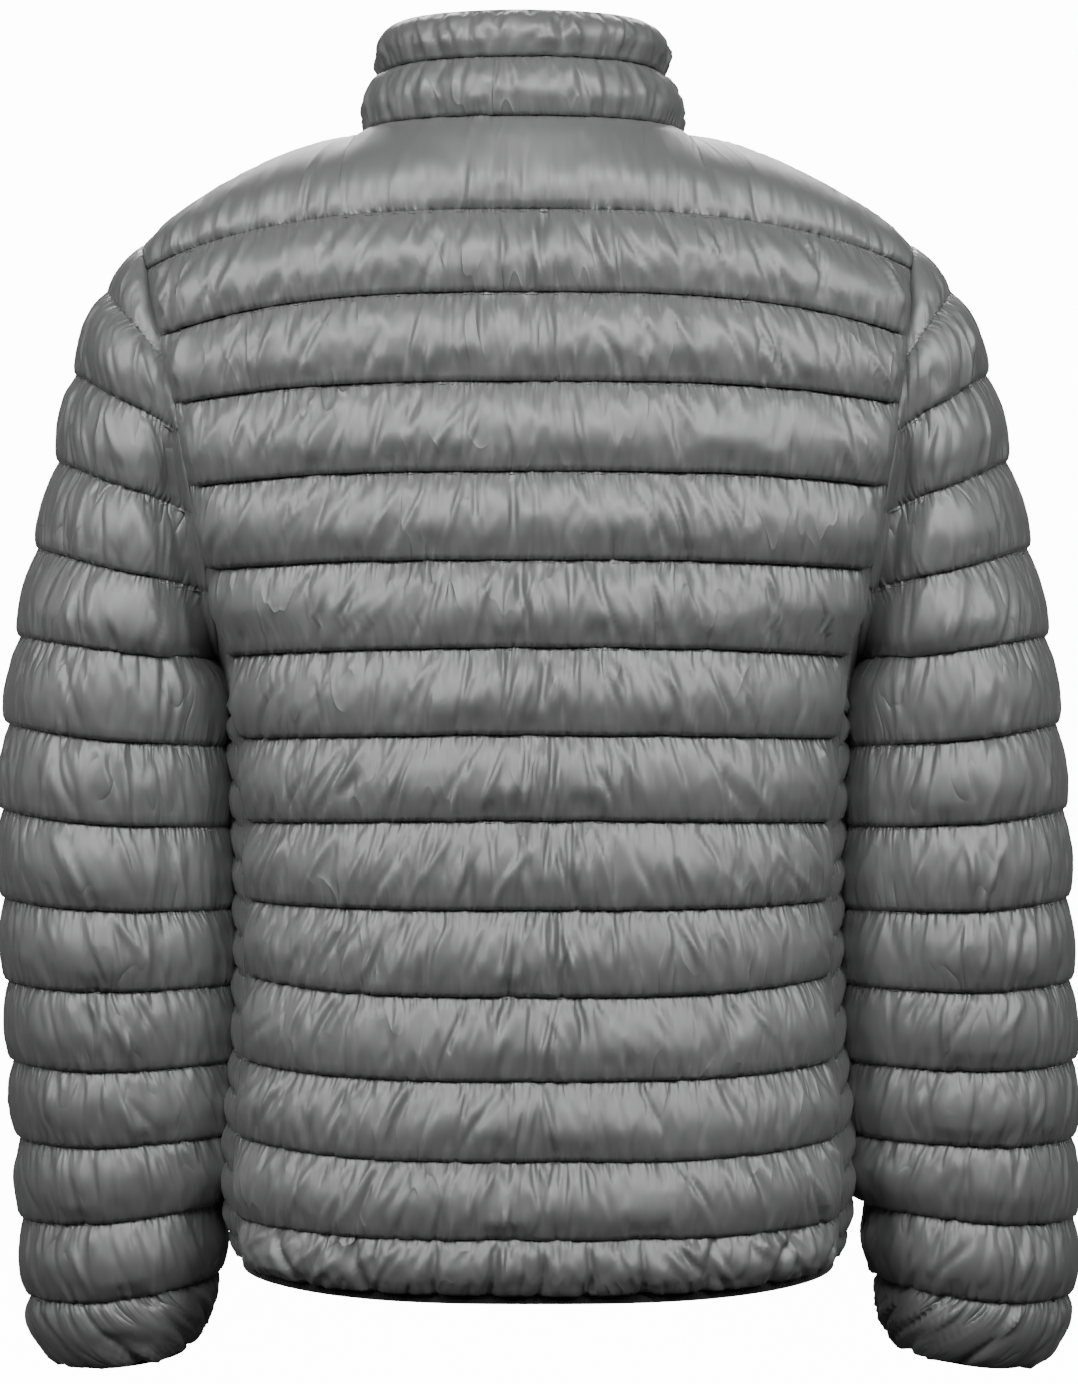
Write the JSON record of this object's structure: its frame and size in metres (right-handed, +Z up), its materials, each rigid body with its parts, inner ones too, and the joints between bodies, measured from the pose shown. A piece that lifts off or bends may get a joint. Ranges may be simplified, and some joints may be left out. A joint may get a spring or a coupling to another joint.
{
  "type": "puffer jacket",
  "caption": "Lightweight quilted puffer jacket with a stand collar, a front zip and elastic-bound hem and cuffs, filled out as worn.",
  "frame": {"origin": "middle of the neck, level with the collar seam at the nape, where the garment hangs from the wearer's neck and shoulders", "axes": "+Z up, -Y the way the front faces, +X the wearer's left"},
  "size_m": [0.6778, 0.2586, 0.8421],
  "materials": {
    "shell_nylon": "satin, tightly woven nylon with a soft sheen, puckered along its stitching",
    "elastic": "matt knitted elastic binding with fine ribs",
    "zip_tape": "woven zip tape with a moulded chain",
    "zip_metal": "dark lacquered metal"
  },
  "bodies": {
    "jacket": {"back": "shell_nylon", "front_left": "shell_nylon", "front_right": "shell_nylon", "side_left": "shell_nylon", "side_right": "shell_nylon", "sleeve_left": "shell_nylon", "sleeve_right": "shell_nylon", "collar": "shell_nylon", "hem_binding": "elastic", "cuff_binding_left": "elastic", "cuff_binding_right": "elastic", "zip_left": "zip_tape", "zip_right": "zip_tape", "zip_slider": "zip_metal"},
    "pull": {"zip_pull": "zip_metal"}
  },
  "joints": [
    {"name": "pull_swing", "type": "hinge", "parent": "jacket", "child": "pull", "pos_m": [-0.0005, -0.08952, -0.02564], "axis": [-1, 0, 0], "range_deg": [0, 120]}
  ]
}
